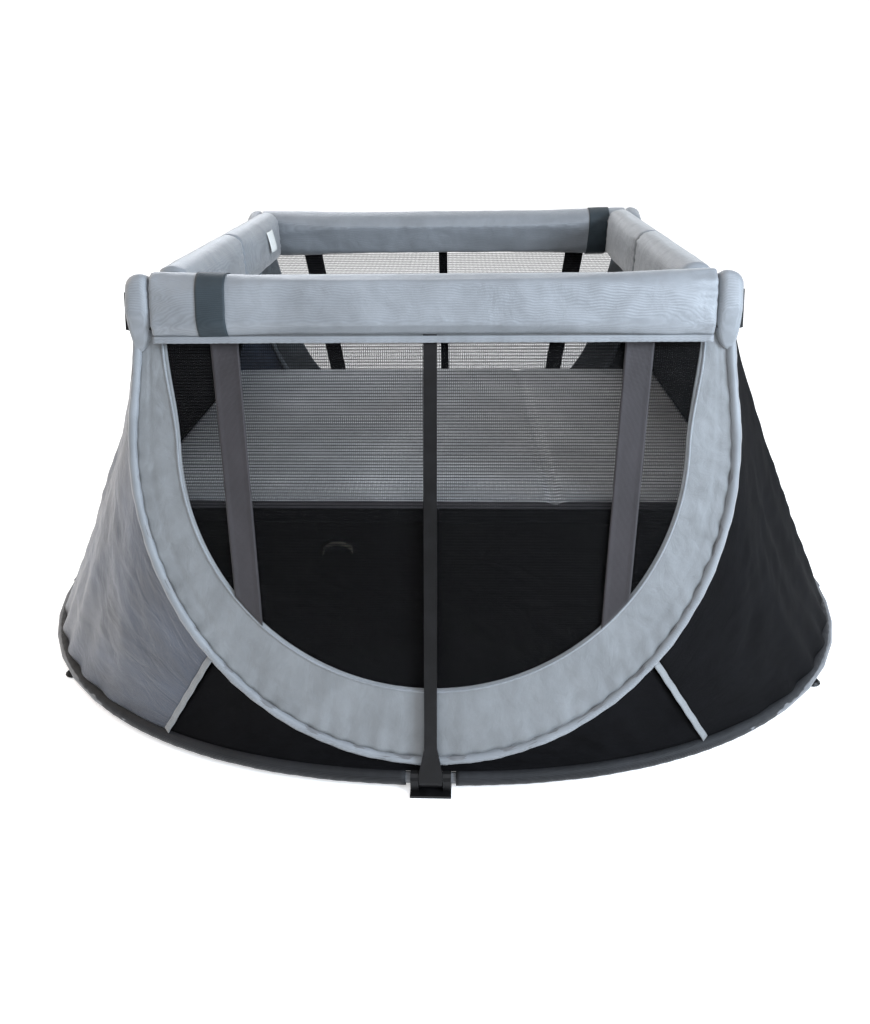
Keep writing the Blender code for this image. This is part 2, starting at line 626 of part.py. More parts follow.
def end_panel(hand):
    """The sloping cloth end: from the side rail and both arches down to the end of the ring."""
    side = -1 if hand == "left" else 1
    room = ARCH_RADIUS + 0.0045
    top_up = PAD_LOW - 0.004
    hem_x = ARCH_HALF_WIDTH * math.sqrt(1 - ((ARCH_SPRING - HEM_ON_ARCH) / (ARCH_SPRING - ARCH_BOTTOM)) ** 2)
    arch = []
    for x, v in u_curve(ARCH_HALF_WIDTH, ARCH_TOP_HALF_WIDTH, ARCH_SPRING, ARCH_BOTTOM, ARCH_TOP, 6, 14):
        if HEM_ON_ARCH + 0.02 < v < top_up:
            arch.append((x + room, v))
    arch = [(ARCH_TOP_HALF_WIDTH + room, top_up)] + arch + [(hem_x + room, HEM_ON_ARCH)]
    front_edge = [wall_point(True, side * x, v) for x, v in reversed(arch)]
    corner = front_edge[-1]
    rail_steps = 6
    rail_edge = []
    for i in range(1, rail_steps):
        y = corner.y * (1 - 2 * i / rail_steps)
        rail_edge.append(Vector((corner.x, y, corner.z)))
    back_edge = [Vector((p.x, -p.y, p.z)) for p in reversed(front_edge)]
    upper = front_edge + rail_edge + back_edge
    hem_angle = ring_angle_at(0, HEM_ON_RING, 0.2, math.pi / 2)
    lift = SLEEVE_RADIUS + 0.0024
    rows = []
    levels = 4
    for i, top in enumerate(upper):
        angle = -hem_angle + 2 * hem_angle * i / (len(upper) - 1)
        if side < 0:
            angle = math.pi - angle
        foot = ring_point(angle) + Vector((0, 0, lift))
        rows.append([top.lerp(foot, j / levels) for j in range(levels + 1)])
    inside = Vector((0, 0, 0.3))
    finish_name = "satin_blue_grey" if hand == "left" else "black_cloth"
    cloth = sheet_from_grid(rows, CLOTH, inside)
    place(f"{hand}_end_panel", cloth, empty(f"{hand}_end_origin", (0, 0, 0)), finish_name)
    return hem_x, hem_angle


def lower_wall(wall):
    """The black cloth between an arch's lower edge and the ring, from hem to hem."""
    front = wall == "front"
    sign = -1 if front else 1
    room = ARCH_RADIUS + 0.0008
    hem_x = ARCH_HALF_WIDTH * math.sqrt(1 - ((ARCH_SPRING - HEM_ON_ARCH) / (ARCH_SPRING - ARCH_BOTTOM)) ** 2)
    hem_angle = ring_angle_at(0, HEM_ON_RING, 0.2, math.pi / 2) + 0.012
    steps = 16
    rows = []
    for i in range(steps + 1):
        s = -1 + 2 * i / steps
        x = s * hem_x * 0.985
        up = ARCH_SPRING - (ARCH_SPRING - ARCH_BOTTOM) * math.sqrt(1 - (x / ARCH_HALF_WIDTH) ** 2) - room
        slope = max(1 - abs(s), 0.0)
        top = wall_point(front, x * (1 + 0.01 * (1 - slope)), up)
        angle = sign * (math.pi / 2 + -s * (math.pi / 2 - hem_angle))
        foot = ring_point(angle) + Vector((0, 0, EYE_RADIUS + 0.002))
        rows.append([top, top.lerp(foot, 0.5), foot])
    cloth = sheet_from_grid(rows, 0.0016, Vector((0, 0, 0.5)))
    place(f"{wall}_lower_wall", cloth, empty(f"{wall}_lower_origin", (0, 0, 0)), "black_cloth")


def build_floor():
    """The floor cloth inside the ring, and the webbing loop on it."""
    origin = empty("floor_origin", (0, 0, 0))
    inset = 0.030
    steps = 40
    rim = []
    for i in range(steps):
        angle = math.tau * i / steps
        point = ring_point(angle) + ring_inward(angle) * inset
        rim.append((point.x, point.y))
    z0, z1 = 0.0025, 0.0045
    place("floor_sheet", loft([[(x, y, z) for x, y in rim] for z in (z0, z1)]), origin, "black_cloth")
    half, height, thick = 0.030, 0.022, 0.0016
    path = [Vector((-0.217 + half * math.cos(t), 0.082, z1 + GAP + thick / 2 + height * math.sin(t)))
            for t in (math.pi * i / 8 for i in range(9))]
    rings = []
    for i, point in enumerate(path):
        ahead = (path[min(i + 1, 8)] - path[max(i - 1, 0)]).normalized()
        across = ahead.cross(Vector((0, 1, 0)))
        if i in (0, 8):
            across = Vector((math.copysign(1, across.x), 0, 0))
        wide = Vector((0, 0.0075, 0))
        edge = across * thick / 2
        rings.append([point - wide - edge, point + wide - edge, point + wide + edge, point - wide + edge])
    place("floor_pull_loop", loft(rings), origin, "cream_webbing")


def build_mattress():
    """The raised mattress, the tray that carries it and the slings that hang it from the side rails."""
    half_x, half_y = MATTRESS_LENGTH / 2, MATTRESS_DEPTH / 2
    low = MATTRESS_TOP - MATTRESS_THICKNESS
    origin = empty("mattress_axis", (0, 0, low))
    pad = place(
        "mattress", box((-half_x, -half_y, 0), (half_x, half_y, MATTRESS_THICKNESS)), origin, "mattress_knit"
    )
    bevel = pad.modifiers.new("soft_edge", "BEVEL")
    bevel.width = 0.012
    bevel.segments = 2
    bevel.limit_method = "ANGLE"
    room = 0.001
    wall = TRAY_WALL
    outer_x, outer_y = half_x + room + wall, half_y + room + wall
    tray_low = low - room - wall
    tray_high = low + 0.020
    tray = place(
        "mattress_tray",
        box((-outer_x, -outer_y, tray_low), (outer_x, outer_y, tray_high)),
        origin_at_ground(),
        "black_cloth",
    )
    hollow = box((-half_x - room, -half_y - room, low - room), (half_x + room, half_y + room, tray_high + 0.05))
    combine(tray, "DIFFERENCE", place("mattress_tray_helper", hollow, origin_at_ground()))
    for hand, side in (("left", -1), ("right", 1)):
        top = Vector((side * (SIDE_X + 0.020), 0, TOP_TUBE_HEIGHT - PAD_BELOW - 0.003))
        bottom = Vector((side * (outer_x + 0.0024), 0, tray_high - 0.004))
        rows = []
        steps = 6
        for i in range(steps + 1):
            y = (-1 + 2 * i / steps)
            upper = top + Vector((0, y * (PIVOT_Y - 0.03), 0))
            lower = bottom + Vector((0, y * (half_y - 0.004), 0))
            rows.append([upper, upper.lerp(lower, 0.5), lower])
        cloth = sheet_from_grid(rows, 0.0016, Vector((side * 2.0, 0, 0.6)))
        place(f"{hand}_tray_sling", cloth, origin_at_ground(), "black_cloth")


def origin_at_ground():
    """The empty on the ground under the middle, made once."""
    return bpy.data.objects.get("ground_origin") or empty("ground_origin", (0, 0, 0))


def main():
    for obj in list(bpy.data.objects):
        bpy.data.objects.remove(obj, do_unlink=True)
    for wall in ("front", "back"):
        build_wall(wall)
        build_foot(wall)
        build_ring(wall)
        lower_wall(wall)
    build_ring_pins()
    for hand in ("left", "right"):
        build_side_rail(hand)
        end_panel(hand)
    build_floor()
    build_mattress()


main()
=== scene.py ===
import json
import math

import bmesh
import bpy
from mathutils import Matrix, Vector, noise
from mathutils.bvhtree import BVHTree


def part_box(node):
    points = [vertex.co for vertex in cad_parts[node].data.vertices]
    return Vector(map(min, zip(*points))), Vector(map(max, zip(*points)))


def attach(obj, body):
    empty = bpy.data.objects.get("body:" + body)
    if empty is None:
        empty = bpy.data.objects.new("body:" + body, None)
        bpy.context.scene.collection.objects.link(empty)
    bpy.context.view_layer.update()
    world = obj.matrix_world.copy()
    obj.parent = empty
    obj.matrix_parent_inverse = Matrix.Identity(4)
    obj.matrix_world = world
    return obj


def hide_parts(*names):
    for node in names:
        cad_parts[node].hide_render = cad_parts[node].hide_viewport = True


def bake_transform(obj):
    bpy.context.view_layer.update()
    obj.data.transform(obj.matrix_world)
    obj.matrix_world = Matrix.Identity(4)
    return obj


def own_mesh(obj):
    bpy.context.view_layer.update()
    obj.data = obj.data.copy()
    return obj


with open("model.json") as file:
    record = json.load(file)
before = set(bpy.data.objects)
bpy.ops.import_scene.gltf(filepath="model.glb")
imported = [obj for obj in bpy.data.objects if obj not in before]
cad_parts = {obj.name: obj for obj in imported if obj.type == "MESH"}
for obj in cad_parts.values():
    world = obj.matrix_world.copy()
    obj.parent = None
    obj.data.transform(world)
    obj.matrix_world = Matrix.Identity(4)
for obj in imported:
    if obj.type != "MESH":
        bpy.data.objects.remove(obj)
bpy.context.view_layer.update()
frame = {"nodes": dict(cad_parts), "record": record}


def hexColour(text, alpha=1.0):  # sRGB hex to linear
    parts = [int(text[i:i + 2], 16) / 255 for i in (1, 3, 5)]
    return (*[c / 12.92 if c <= 0.04045 else ((c + 0.055) / 1.055) ** 2.4 for c in parts], alpha)


def addNode(tree, kind, inputs=None, links=None, **settings):  # a node with its settings, values and links
    node = tree.nodes.new(kind)
    for key, value in settings.items():
        setattr(node, key, value)
    for key, value in (inputs or {}).items():
        node.inputs[key].default_value = value
    for key, socket in (links or {}).items():
        tree.links.new(socket, node.inputs[key])
    return node


def newMaterial(name):  # a material with a Principled shader, and its tree
    material = bpy.data.materials.new(name)
    material.use_nodes = True
    tree = material.node_tree
    return material, tree, tree.nodes["Principled BSDF"]


def newPiece(name, bm, material, smooth=True):  # a finished mesh object at the origin
    bmesh.ops.remove_doubles(bm, verts=bm.verts, dist=1e-6)
    bmesh.ops.recalc_face_normals(bm, faces=bm.faces)
    mesh = bpy.data.meshes.new(name)
    bm.to_mesh(mesh)
    bm.free()
    for one in material if isinstance(material, (list, tuple)) else [material]:
        mesh.materials.append(one)
    if smooth:
        mesh.shade_smooth()
        mesh.set_sharp_from_angle(angle=math.radians(50))
    piece = bpy.data.objects.new(name, mesh)
    bpy.context.scene.collection.objects.link(piece)
    return piece


def ripple(point, size, seed=0.0):  # smooth noise about -1 to 1, with features this many metres across
    return noise.noise(Vector(point) / size + Vector((seed, seed * 1.7, seed * 0.6)))


def clothSheet(name, shape, across, down, thickness, material, metres, lining=False):
    # a grid warped by shape(u, v), thickened inwards, with its UV map in metres
    bm = bmesh.new()
    bmesh.ops.create_grid(bm, x_segments=across, y_segments=down, size=0.5)
    uvMap = bm.loops.layers.uv.new("cloth")
    for face in bm.faces:
        for loop in face.loops:
            loop[uvMap].uv = ((loop.vert.co.x + 0.5) * metres[0], (loop.vert.co.y + 0.5) * metres[1])
    for vert in bm.verts:
        vert.co = shape(vert.co.x + 0.5, vert.co.y + 0.5)
    sheetMesh = bpy.data.meshes.new(name)
    bm.normal_update()
    bm.to_mesh(sheetMesh)
    bm.free()
    for one in material if lining else [material]:
        sheetMesh.materials.append(one)
    sheetMesh.shade_smooth()
    piece = bpy.data.objects.new(name, sheetMesh)
    bpy.context.scene.collection.objects.link(piece)
    shell = piece.modifiers.new("thickness", "SOLIDIFY")
    shell.thickness = thickness
    shell.offset = 0.0
    shell.material_offset = 1 if lining else 0
    return piece


def cutRow(bm, spot, normal):  # a new row of edges through the whole mesh
    bmesh.ops.bisect_plane(bm, geom=bm.verts[:] + bm.edges[:] + bm.faces[:], plane_co=spot, plane_no=normal)


def settle(piece):  # applies the piece's modifiers to its mesh
    graph = bpy.context.evaluated_depsgraph_get()
    made = bpy.data.meshes.new_from_object(piece.evaluated_get(graph), depsgraph=graph)
    piece.modifiers.clear()
    piece.data = made
    return piece


ringLow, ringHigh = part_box("front_ring_tube")
tubeRadius = 0.008
sleeveRadius = 0.0104  # outside the cloth round the ring tube
axisHeight = ringHigh.z - tubeRadius
ringHalfDepth = -ringLow.y - tubeRadius
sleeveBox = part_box("front_right_ring_sleeve")
ringHalfLength = sleeveBox[1].x - sleeveRadius
oval = 2.2  # exponent of the base oval
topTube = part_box("front_top_tube")
railHeight = (topTube[0].z + topTube[1].z) / 2
railDepth = -(topTube[0].y + topTube[1].y) / 2
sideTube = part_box("left_front_side_tube")
sideX = (sideTube[0].x + sideTube[1].x) / -2
lean = math.atan2(ringHalfDepth - railDepth, railHeight - axisHeight)
rise = math.hypot(ringHalfDepth - railDepth, railHeight - axisHeight)
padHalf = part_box("front_rail_cover")[1].x
pad = dict(above=0.040, below=0.045, thickness=0.046)
arch = dict(half=0.388, topHalf=0.374, spring=0.438, bottom=0.024, radius=0.005)
window = dict(half=0.325, topHalf=0.338, spring=0.449, bottom=0.126)
walls = {"front": -1, "back": 1}
hands = {"left": -1, "right": 1}


def wallPoint(wall, x, up, inward=0.0):  # x along the wall, up its slope, in from its middle plane
    y = -ringHalfDepth + up * math.sin(lean) + inward * math.cos(lean)
    z = axisHeight + up * math.cos(lean) - inward * math.sin(lean)
    return Vector((x, -walls[wall] * y, z))


def ringPoint(angle, away=0.0, up=0.0):  # on the base ring's middle line, or off it
    c, s = math.cos(angle), math.sin(angle)
    reach = (abs(c) ** oval + abs(s) ** oval) ** (-1 / oval)
    spot = Vector((ringHalfLength * reach * c, ringHalfDepth * reach * s, axisHeight + up))
    if away:
        out = Vector((abs(c) ** (oval - 1) * math.copysign(1, c) / ringHalfLength,
                      abs(s) ** (oval - 1) * math.copysign(1, s) / ringHalfDepth, 0)).normalized()
        spot += out * away
    return spot


def ringAngle(x):  # the angle in the first quarter where the ring has this x
    low, high = 0.0, math.pi / 2
    for _ in range(40):
        middle = (low + high) / 2
        low, high = (middle, high) if ringPoint(middle).x > x else (low, middle)
    return low


def uCurve(size, top, s, gap=0.0):  # (x, up) round an arch, with s from -1 at the left top to 1 at the right
    legShare = 0.22
    side, t = (1 if s >= 0 else -1), abs(s)
    half = size["half"] + gap
    if t > 1 - legShare:
        k = (t - (1 - legShare)) / legShare
        blend = 0.5 - 0.5 * math.cos(math.pi * k)
        wide = half + (size["topHalf"] - size["half"]) * blend
        return side * wide, size["spring"] + (top - size["spring"]) * k
    turn = math.pi / 2 * t / (1 - legShare)
    drop = size["spring"] - size["bottom"] + gap
    return side * half * math.sin(turn), size["spring"] - drop * math.cos(turn)


print("frame sizes read")


def twoTone(tree, source, first, second):  # a colour ramp between two (position, hex) stops
    ramp = addNode(tree, "ShaderNodeValToRGB", {}, {"Fac": source})
    for stop, (position, colour) in zip(ramp.color_ramp.elements, (first, second)):
        stop.position = position
        stop.color = hexColour(colour)
    return ramp


def waveScale(spacing):  # a Wave texture's scale for bands this many metres apart
    return 1 / spacing / 6.28 * 2


def weaveBump(tree, shader, thread, strength, source, wrinkle=0.0, wrinkleScale=30.0):
    # two crossed thread waves, and soft creases over them
    waves = {"Scale": waveScale(thread), "Distortion": 0.4, "Detail": 1.0}
    warp = addNode(tree, "ShaderNodeTexWave", waves, {"Vector": source}, bands_direction="X")
    weft = addNode(tree, "ShaderNodeTexWave", waves, {"Vector": source}, bands_direction="Y")
    cloth = addNode(tree, "ShaderNodeMath", {}, {0: warp.outputs["Fac"], 1: weft.outputs["Fac"]},
                    operation="MULTIPLY")
    fine = addNode(tree, "ShaderNodeBump", {"Strength": strength, "Distance": thread * 0.5},
                   {"Height": cloth.outputs[0]})
    last = fine
    if wrinkle:
        creasing = {"Scale": wrinkleScale, "Detail": 5.0, "Roughness": 0.55, "Distortion": 0.8}
        crease = addNode(tree, "ShaderNodeTexNoise", creasing, {"Vector": source})
        last = addNode(tree, "ShaderNodeBump", {"Strength": wrinkle, "Distance": 0.006},
                       {"Height": crease.outputs["Fac"], "Normal": fine.outputs["Normal"]})
    tree.links.new(last.outputs["Normal"], shader.inputs["Normal"])
    return cloth


def clothMaterial(name, dark, light, thread, rough, sheen, wrinkle, wrinkleScale, spread=14.0, strength=0.35,
                  uv=True, gloss=0.5):
    # a woven cloth with faded patches; thread is in metres, and gloss is the strength of its shine
    material, tree, shader = newMaterial(name)
    where = addNode(tree, "ShaderNodeTexCoord").outputs["UV" if uv else "Object"]
    cloth = weaveBump(tree, shader, thread, strength, where, wrinkle, wrinkleScale)
    patches = addNode(tree, "ShaderNodeTexNoise", {"Scale": spread, "Detail": 4.0, "Roughness": 0.6},
                      {"Vector": where})
    share = addNode(tree, "ShaderNodeMath", {1: 0.35}, {0: cloth.outputs[0]}, operation="MULTIPLY")
    both = addNode(tree, "ShaderNodeMath", {}, {0: share.outputs[0], 1: patches.outputs["Fac"]},
                   operation="ADD")
    ramp = twoTone(tree, both.outputs[0], (0.35, dark), (0.95, light))
    tree.links.new(ramp.outputs["Color"], shader.inputs["Base Color"])
    dull = addNode(tree, "ShaderNodeMapRange", {"To Min": rough - 0.06, "To Max": rough + 0.06},
                   {"Value": patches.outputs["Fac"]})
    tree.links.new(dull.outputs["Result"], shader.inputs["Roughness"])
    shader.inputs["Sheen Weight"].default_value = sheen
    shader.inputs["Sheen Roughness"].default_value = 0.35
    shader.inputs["Sheen Tint"].default_value = hexColour("#ffffff")
    shader.inputs["Specular IOR Level"].default_value = gloss
    return material


def netMaterial(name, colour, pitch, openShare):
    # rows of thread with see-through holes between, drawn coarser than the real 1 mm so that they show
    material, tree, shader = newMaterial(name)
    where = addNode(tree, "ShaderNodeTexCoord").outputs["UV"]
    uneven = {"Scale": waveScale(pitch), "Distortion": 0.6, "Detail": 1.0, "Detail Scale": 4.0}
    rows = addNode(tree, "ShaderNodeTexWave", uneven, {"Vector": where}, bands_direction="Y")
    columns = addNode(tree, "ShaderNodeTexWave", {"Scale": waveScale(pitch) * 1.15, "Distortion": 0.5},
                      {"Vector": where}, bands_direction="X")
    thread = addNode(tree, "ShaderNodeMath", {}, {0: rows.outputs["Fac"], 1: columns.outputs["Fac"]},
                     operation="MAXIMUM")
    span = {"From Min": 0.45, "From Max": 0.95, "To Min": 1 - openShare, "To Max": 1 - openShare * 0.50}
    cover = addNode(tree, "ShaderNodeMapRange", span, {"Value": thread.outputs[0]})
    tree.links.new(cover.outputs["Result"], shader.inputs["Alpha"])
    bump = addNode(tree, "ShaderNodeBump", {"Strength": 0.4, "Distance": 0.0005},
                   {"Height": thread.outputs[0]})
    tree.links.new(bump.outputs["Normal"], shader.inputs["Normal"])
    shader.inputs["Base Color"].default_value = hexColour(colour)
    shader.inputs["Roughness"].default_value = 0.75
    shader.inputs["Specular IOR Level"].default_value = 0.15
    return material


def knitMaterial(name, dark, light, pitch):
    # rows of open cells over a darker ground
    material, tree, shader = newMaterial(name)
    where = addNode(tree, "ShaderNodeTexCoord").outputs["Object"]
    stretch = addNode(tree, "ShaderNodeMapping", {"Scale": (1 / pitch / 1.6, 1 / pitch, 1 / pitch)},
                      {"Vector": where})
    cells = addNode(tree, "ShaderNodeTexVoronoi", {"Scale": 1.0, "Randomness": 0.25},
                    {"Vector": stretch.outputs["Vector"]}, feature="F1")
    ridges = {"Scale": waveScale(pitch * 2.2), "Distortion": 0.5, "Detail": 1.0}
    rows = addNode(tree, "ShaderNodeTexWave", ridges, {"Vector": where}, bands_direction="Y")
    soft = addNode(tree, "ShaderNodeTexNoise", {"Scale": 9.0, "Detail": 4.0}, {"Vector": where})
    holes = addNode(tree, "ShaderNodeMapRange", {"From Min": 0.15, "From Max": 0.6},
                    {"Value": cells.outputs["Distance"]})
    mixed = addNode(tree, "ShaderNodeMath", {}, {0: holes.outputs["Result"], 1: rows.outputs["Fac"]},
                    operation="MULTIPLY")
    toned = addNode(tree, "ShaderNodeMath", {}, {0: mixed.outputs[0], 1: soft.outputs["Fac"]},
                    operation="ADD")
    ramp = twoTone(tree, toned.outputs[0], (0.3, light), (1.25 / 1.3, dark))
    bump = addNode(tree, "ShaderNodeBump", {"Strength": 0.6, "Distance": 0.0012},
                   {"Height": mixed.outputs[0]})
    bump.invert = True
    tree.links.new(ramp.outputs["Color"], shader.inputs["Base Color"])
    tree.links.new(bump.outputs["Normal"], shader.inputs["Normal"])
    shader.inputs["Roughness"].default_value = 0.85
    shader.inputs["Sheen Weight"].default_value = 0.2
    return material


def hardMaterial(name, colour, worn, rough, metal, grain, strength, gloss=0.5):
    # a fine surface grain this many metres across, and colour that lightens in soft scuffs
    material, tree, shader = newMaterial(name)
    where = addNode(tree, "ShaderNodeTexCoord").outputs["Object"]
    speck = addNode(tree, "ShaderNodeTexNoise", {"Scale": 1 / grain, "Detail": 2.0}, {"Vector": where})
    scuff = addNode(tree, "ShaderNodeTexNoise", {"Scale": 40.0, "Detail": 6.0, "Roughness": 0.7},
                    {"Vector": where})
    ramp = twoTone(tree, scuff.outputs["Fac"], (0.45, colour), (0.75, worn))
    bump = addNode(tree, "ShaderNodeBump", {"Strength": strength, "Distance": 0.0002},
                   {"Height": speck.outputs["Fac"]})
    dull = addNode(tree, "ShaderNodeMapRange", {"To Min": rough - 0.08, "To Max": rough + 0.1},
                   {"Value": scuff.outputs["Fac"]})
    tree.links.new(ramp.outputs["Color"], shader.inputs["Base Color"])
    tree.links.new(bump.outputs["Normal"], shader.inputs["Normal"])
    tree.links.new(dull.outputs["Result"], shader.inputs["Roughness"])
    shader.inputs["Metallic"].default_value = metal
    shader.inputs["Specular IOR Level"].default_value = gloss
    return material


# grey polyester satin: a smooth weave that shines softly along its folds
satinGrey = clothMaterial("satinGreyPolyester", "#646769", "#7d8184", 0.0011, 0.42, 0.35, 0.30, 26.0)
satinPad = clothMaterial("satinPadCover", "#6c7074", "#858a8f", 0.0011, 0.42, 0.35, 0.30, 22.0, uv=False)
# blue-grey satin of the left end: a cooler cloth with long soft creases
satinBlue = clothMaterial("satinBlueEnd", "#282b32", "#4f5868", 0.0011, 0.36, 0.2, 0.6, 12.0, spread=6.0,
                          gloss=0.35)
# black polyester plain weave: dull, so that its folds only just show
blackCloth = clothMaterial("blackPlainWeave", "#060607", "#0f0f11", 0.0010, 0.82, 0.0, 0.45, 14.0, gloss=0.05)
blackSoft = clothMaterial("blackLiningWeave", "#070708", "#101012", 0.0010, 0.82, 0.0, 0.3, 20.0, uv=False,
                          gloss=0.05)
# dark grey woven tape: a ribbed satin face with a thick edge
greyTape = clothMaterial("greyWovenTape", "#2b292b", "#3b383b", 0.0016, 0.42, 0.10, 0.12, 20.0, strength=0.5,
                         gloss=0.22)
greyTapeSolid = clothMaterial("greyTapeSolid", "#161719", "#232427", 0.0016, 0.5, 0.05, 0.25, 20.0,
                              strength=0.5, uv=False, gloss=0.22)
# the same tape, paler where it binds the mattress
mattressTape = clothMaterial("greyBindingTape", "#4c4a4d", "#615f62", 0.0016, 0.5, 0.1, 0.15, 20.0,
                             strength=0.5, gloss=0.2)
# slate woven band: plain, tight and nearly flat
slateBand = clothMaterial("slateWovenBand", "#262e33", "#353e43", 0.0009, 0.55, 0.08, 0.06, 20.0, uv=False,
                          gloss=0.22)
# cream cotton tape: coarse, matt threads
creamTape = clothMaterial("creamCottonTape", "#a29c86", "#c9c3ac", 0.0012, 0.8, 0.1, 0.1, 20.0, strength=0.5,
                          uv=False)
# white polyester care label: thin and smooth
careTape = clothMaterial("whiteCareTape", "#c9cbc8", "#e3e4e0", 0.0008, 0.6, 0.1, 0.05, 20.0, uv=False)
# warp-knitted polyester net: dark rows that the inside shows through
blackNet = netMaterial("blackKnittedNet", "#070708", 0.0030, 0.93)
# polyester spacer knit: pale ribs with rows of small dark cells
mattressKnit = knitMaterial("greySpacerKnit", "#a2a5a8", "#eceeef", 0.0040)
# glass-filled nylon, moulded: a fine satin grain with pale scuffs
blackNylon = hardMaterial("blackMouldedNylon", "#060607", "#101012", 0.42, 0.0, 0.0006, 0.3, gloss=0.25)
# powder-coated steel tube: an orange-peel surface with a soft shine
greySteel = hardMaterial("greyPowderCoat", "#5a5c5f", "#6f7174", 0.42, 0.0, 0.0010, 0.25)
# plain turned steel: bright, with a faint grain
pinSteel = hardMaterial("turnedSteel", "#9a9c9f", "#b5b7ba", 0.32, 1.0, 0.0004, 0.15)

slotFinish = {
    "satin_grey": satinPad, "satin_blue_grey": satinBlue, "black_cloth": blackSoft, "black_mesh": blackNet,
    "dark_grey_webbing": greyTapeSolid, "slate_label": slateBand, "mattress_knit": mattressKnit,
    "cream_webbing": creamTape, "black_plastic": blackNylon, "grey_steel": greySteel, "pin_steel": pinSteel,
}
for part in frame["record"]["subparts"]:  # a finish for every frame piece that stays in sight
    node = frame["nodes"][part["node"]]
    node.data.materials.clear()
    node.data.materials.append(slotFinish[part["material_slot"]])
print("materials made")


rail = dict(voxel=0.0045, pressure=5.0, frames=20, cap=0.005, shrink=-0.0005, crease=0.0020, round=0.0185)


def padBlock(length, low, high, half, thin):  # a round-edged block along X, made thinner all round
    bm = bmesh.new()
    bmesh.ops.create_cube(bm, size=1.0)
    bmesh.ops.scale(bm, vec=(length, (half - thin) * 2, high - low - 2 * thin), verts=bm.verts)
    bmesh.ops.translate(bm, vec=(0, 0, (low + high) / 2), verts=bm.verts)
    long = [e for e in bm.edges if abs((e.verts[0].co - e.verts[1].co).x) > 0.5 * length]
    bmesh.ops.bevel(bm, geom=long, affect="EDGES", segments=5, offset=rail["round"], profile=0.5, material=-1)
    return bm


def puff(piece, pins):  # remesh, fill with air pressure, cap how far it may swell, and keep the ends in place
    remesh = piece.modifiers.new("remesh", "REMESH")
    remesh.mode = "VOXEL"
    remesh.voxel_size = rail["voxel"]
    settle(piece)
    start = [v.co.copy() for v in piece.data.vertices]
    group = piece.vertex_groups.new(name="held")
    for v in piece.data.vertices:
        group.add([v.index], pins(v.co), "REPLACE")
    cloth = piece.modifiers.new("cloth", "CLOTH")
    cloth.settings.quality = 4
    cloth.settings.mass = 0.3
    cloth.settings.use_pressure = True
    cloth.settings.uniform_pressure_force = rail["pressure"]
    cloth.settings.vertex_group_mass = "held"
    cloth.settings.effector_weights.gravity = 0
    cloth.settings.tension_stiffness = 12
    cloth.settings.bending_stiffness = 0.4
    cloth.point_cache.frame_start, cloth.point_cache.frame_end = 1, rail["frames"]
    for step in range(1, rail["frames"] + 1):
        bpy.context.scene.frame_set(step)
    settle(piece)
    bpy.context.scene.frame_set(1)
    for v, first in zip(piece.data.vertices, start):
        move = v.co - first
        if move.length > rail["cap"]:
            v.co = first + move * (rail["cap"] / move.length)
    piece.data.shade_smooth()
    return piece


def paddedRail(name, length, low, high, place, body, seed, replaced=()):
    bm = padBlock(length, low, high, pad["thickness"] / 2, rail["shrink"])
    piece = newPiece(name, bm, satinPad, smooth=False)
    puff(piece, lambda co: 1.0 if abs(co.x) > length / 2 - 0.004 else 0.0)
    half = length / 2
    for v in piece.data.vertices:  # sewn creases that fan in from the ends, and shallow hollows between
        x, y, z = v.co
        near = math.exp(-((half - abs(x)) / 0.035) ** 2)
        fan = 0.6 * near * math.sin(z * 420 + seed)
        dent = rail["crease"] * (ripple((x * 0.6, 0, z), 0.05, seed) + fan)
        dent += 0.0010 * ripple((x, y, z), 0.018, seed + 3)
        v.co.y += math.copysign(dent, y) - math.copysign(0.002 * near, y)
    piece.data.transform(place)
    piece.data.materials.clear()
    piece.data.materials.append(satinPad)
    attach(piece, body)
    if replaced:
        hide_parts(*replaced)


def wallMatrix(wall):  # from a wall's own flat frame (x, inward, up) to the row frame
    turn = Matrix.Rotation(math.pi, 4, "Z") if wall == "back" else Matrix.Identity(4)
    foot = Matrix.Translation((0, walls[wall] * ringHalfDepth, axisHeight))
    return foot @ turn @ Matrix.Rotation(-lean, 4, "X")


for wall in walls:
    paddedRail(f"{wall}RailPad", padHalf * 2, rise - pad["below"], rise + pad["above"], wallMatrix(wall),
               f"{wall}_wall", 1.0 if wall == "front" else 5.0, replaced=(f"{wall}_rail_cover",))
pivotY = railDepth - 0.036
sideHalf = pivotY + 0.002
for hand, side in hands.items():
    for wall, sign in walls.items():
        length = sideHalf - 0.0012
        place = Matrix.Translation((side * sideX, sign * (0.0006 + length / 2), railHeight))
        place = place @ Matrix.Rotation(math.pi / 2, 4, "Z")
        covers = (f"{hand}_rail_cover",) if wall == "back" else ()
        paddedRail(f"{hand}{wall.capitalize()}SidePad", length, -pad["below"], pad["above"], place,
                   f"{hand}_{wall}_rail", 7.0 + side + sign, replaced=covers)
print("padded rails made")


hem = dict(drop=0.0085, out=0.0165, thickness=0.0012)
for wall in walls:
    def hemStrip(u, v, wall=wall):
        x = -padHalf + 0.002 + u * (padHalf * 2 - 0.004)
        wave = 0.0014 * ripple((x, 0, 0), 0.03, 40.0) + 0.0007 * math.sin(x * 700)
        up = rise - pad["below"] + 0.004 - (hem["drop"] + 0.4 * wave) * v
        return wallPoint(wall, x, up, -hem["out"] - wave * v)

    piece = clothSheet(f"{wall}RailHem", hemStrip, 200, 5, hem["thickness"], satinPad,
                       (0.7, 0.009))
    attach(piece, f"{wall}_wall")

care = dict(width=0.040, drop=0.034, y=0.165, proud=0.0275)


def careShape(u, v):  # a small white label sewn inside the left rail, curling in
    x = -sideX + care["proud"] + 0.006 * math.sin(1.4 * v) + 0.002 * math.sin(3 * u)
    return Vector((x, care["y"] + (u - 0.5) * care["width"], railHeight + 0.022 - care["drop"] * v))


